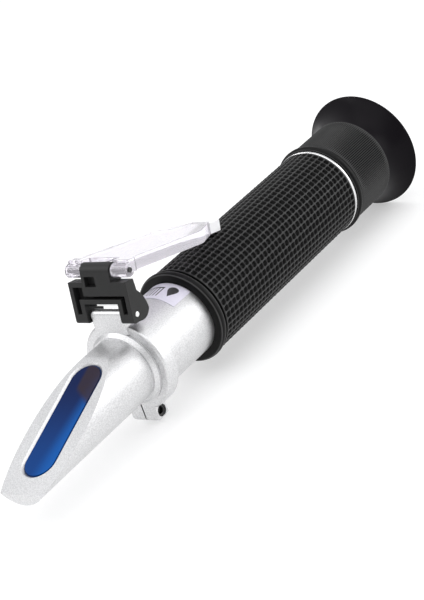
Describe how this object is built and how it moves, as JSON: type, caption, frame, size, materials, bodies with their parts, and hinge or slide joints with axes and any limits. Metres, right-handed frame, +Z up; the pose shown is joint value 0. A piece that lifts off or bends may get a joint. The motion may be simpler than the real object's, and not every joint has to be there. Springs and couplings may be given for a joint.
{
  "type": "handheld refractometer",
  "caption": "Handheld refractometer with an inclined measuring prism, a flip-over daylight plate on a hinged block, a rubber grip and a focusing eyepiece.",
  "frame": {"origin": "on the ground plane below the middle of the instrument: the lowest point of the eyecup rim is at z = 0", "axes": "+X along the optical axis towards the eyepiece, +Z up through the prism face, Y across"},
  "size_m": [0.1988, 0.0406, 0.0537],
  "materials": {
    "satin_metal": "satin, bead blasted",
    "bright_steel": "bright",
    "dark_steel": "blackened",
    "black_plastic": "satin moulded",
    "clear_plastic": "clear acrylic",
    "blue_glass": "blue optical glass",
    "optical_glass": "coated",
    "black_rubber": "matte, grid pattern",
    "cup_rubber": "smooth",
    "label": "printed film",
    "brass": "turned",
    "black_metal": "matte black anodised"
  },
  "bodies": {
    "barrel": {"prism_housing": "satin_metal", "main_prism": "blue_glass", "prism_seal": "cup_rubber", "light_mask": "black_plastic", "front_o_ring": "cup_rubber", "clamp_ring": "satin_metal", "clamp_screw": "dark_steel", "hinge_pin": "bright_steel", "barrel_tube": "satin_metal", "label_plate": "label", "calibration_clip": "bright_steel", "grip_sleeve": "black_rubber", "trim_ring": "bright_steel", "guide_ring": "black_metal", "light_tube": "black_plastic", "field_stop": "black_plastic", "reticle_holder": "black_metal", "reticle": "optical_glass", "reticle_ring": "black_metal", "eyepiece_tube": "black_metal", "focus_o_ring": "cup_rubber", "focus_retainer": "black_metal"},
    "hinge_block": {"hinge_block": "black_plastic", "hinge_spring": "bright_steel", "plate_pin": "dark_steel"},
    "daylight_plate": {"daylight_plate": "clear_plastic"},
    "calibration_screw": {"calibration_screw": "dark_steel"},
    "objective": {"objective_carrier": "brass", "bimetal_strip": "bright_steel", "bimetal_screw": "bright_steel", "objective_ring": "black_metal", "objective_lens": "optical_glass", "objective_retainer": "black_metal"},
    "focus_ring": {"focus_ring": "black_plastic", "eyecup": "cup_rubber"},
    "lens_cell": {"lens_cell": "black_metal", "guide_pin": "bright_steel", "field_lens": "optical_glass", "lens_spacer": "black_metal", "eye_lens": "optical_glass", "lens_retainer": "black_metal"}
  },
  "joints": [
    {"name": "block_hinge", "type": "hinge", "parent": "barrel", "child": "hinge_block", "pos_m": [-0.0434, 0, 0.0378], "axis": [0, -1, 0], "range_deg": [0, 123.6]},
    {"name": "plate_hinge", "type": "hinge", "parent": "hinge_block", "child": "daylight_plate", "pos_m": [-0.04088, 0, 0.05076], "axis": [0, -1, 0], "range_deg": [0, 91.7]},
    {"name": "calibration_turn", "type": "hinge", "parent": "barrel", "child": "calibration_screw", "pos_m": [-0.032, 0, 0.0327], "axis": [0, 0, 1], "range_deg": [-362, 362]},
    {"name": "objective_shift", "type": "slide", "parent": "barrel", "child": "objective", "axis": [0, 0, 1], "range_m": [-0.0005, 0.0005]},
    {"name": "focus_turn", "type": "hinge", "parent": "barrel", "child": "focus_ring", "pos_m": [0.0788, 0, 0.0203], "axis": [1, 0, 0], "range_deg": [-120, 120]},
    {"name": "focus_shift", "type": "slide", "parent": "barrel", "child": "lens_cell", "axis": [1, 0, 0], "range_m": [-0.00205, 0.00205]}
  ],
  "couplings": [
    {"joint": "calibration_turn", "follows": "objective_shift", "rad_per_m": -12566},
    {"joint": "focus_shift", "follows": "focus_turn", "m_per_rad": 0.00095493}
  ]
}
